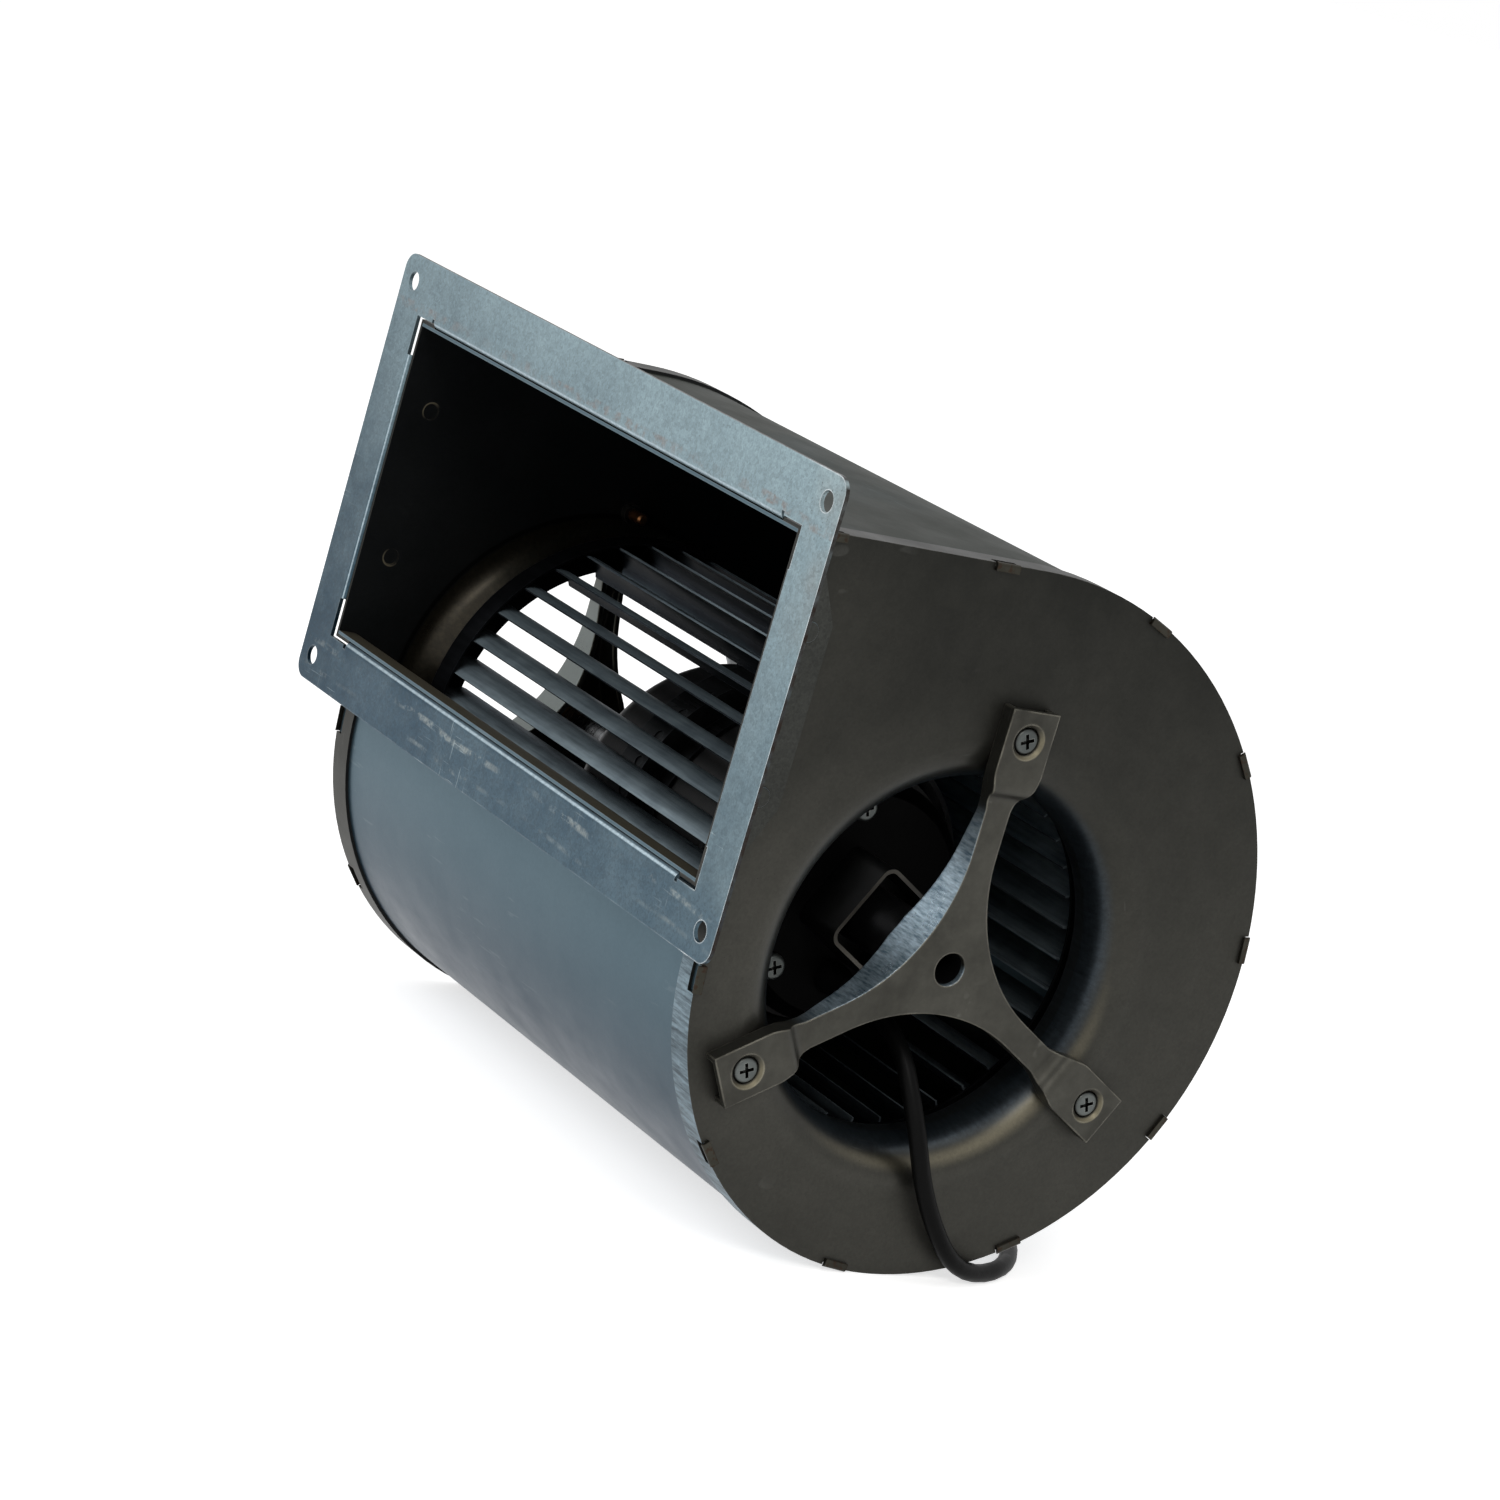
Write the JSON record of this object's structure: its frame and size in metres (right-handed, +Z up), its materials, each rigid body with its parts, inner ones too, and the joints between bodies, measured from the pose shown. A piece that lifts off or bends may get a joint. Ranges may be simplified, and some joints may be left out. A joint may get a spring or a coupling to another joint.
{
  "type": "double inlet blower",
  "caption": "Double inlet centrifugal blower in a galvanised scroll housing, with a forward curved drum impeller on an external rotor motor and a flanged rectangular outlet.",
  "frame": {"origin": "centre of the outlet flange's front face, where the blower bolts to a panel", "axes": "+X along the fan axis towards the side where the cable leaves, air leaves the outlet along -Y, +Z up"},
  "size_m": [0.26, 0.2728, 0.2271],
  "materials": {
    "galvanised_sheet": "hot-dip galvanised sheet steel with a fine spangle, satin",
    "galvanised_side": "dulled galvanised sheet steel, darker than the wrap",
    "galvanised_spider": "pressed galvanised steel, dull faces and bright drawn flanges",
    "impeller_sheet": "thin galvanised strip, satin with bright cut edges",
    "zinc_fastener": "bright zinc plated steel",
    "yellow_zinc_fastener": "yellow passivated zinc plated steel",
    "black_motor": "black baked enamel, semi gloss",
    "rotor_paint": "thin dark lacquer over machined aluminium",
    "turned_steel": "turned and ground steel",
    "bracket_steel": "pressed steel with bright cut edges",
    "lamination_steel": "stacked electrical steel sheets",
    "cast_aluminium": "die cast aluminium",
    "enamelled_copper": "enamelled copper winding wire, varnished",
    "bearing_steel": "ground bearing steel",
    "spring_steel": "oiled spring steel",
    "bush_bronze": "oil soaked sintered bronze",
    "cable_rubber": "black flexible cable sheath, satin",
    "gland_rubber": "black moulded rubber, matt",
    "core_insulation": "PVC core insulation in four colours",
    "tinned_ferrule": "tinned copper",
    "tie_nylon": "black nylon"
  },
  "bodies": {
    "housing": {"bearing_left": "bearing_steel", "bearing_right": "bearing_steel", "cable_coil": "cable_rubber", "cable_gland": "gland_rubber", "coil_tie": "tie_nylon", "lead_ferrules": "tinned_ferrule", "lead_wires": "core_insulation", "motor_bracket": "bracket_steel", "motor_cap_screws": "zinc_fastener", "motor_end_cap": "black_motor", "motor_support_tube": "turned_steel", "outlet_flange": "galvanised_sheet", "power_cable": "cable_rubber", "preload_washer": "spring_steel", "scroll_wrap": "galvanised_sheet", "shaft_bush_left": "bush_bronze", "side_plate_left": "galvanised_side", "side_plate_right": "galvanised_side", "spider_left": "galvanised_spider", "spider_right": "galvanised_spider", "spider_screws_left": "yellow_zinc_fastener", "spider_screws_right": "zinc_fastener", "stator_core": "lamination_steel", "stator_flange": "cast_aluminium", "stator_windings": "enamelled_copper"},
    "impeller": {"impeller_blades": "impeller_sheet", "impeller_disc": "impeller_sheet", "impeller_ring_left": "impeller_sheet", "impeller_ring_right": "impeller_sheet", "rotor_can": "rotor_paint", "rotor_core": "lamination_steel", "rotor_cage": "cast_aluminium", "rotor_shaft": "turned_steel", "shaft_retaining_ring": "spring_steel"}
  },
  "joints": [
    {"name": "impeller_spin", "type": "hinge", "parent": "housing", "child": "impeller", "pos_m": [0, 0.0915, -0.0655], "axis": [1, 0, 0], "continuous": true}
  ]
}
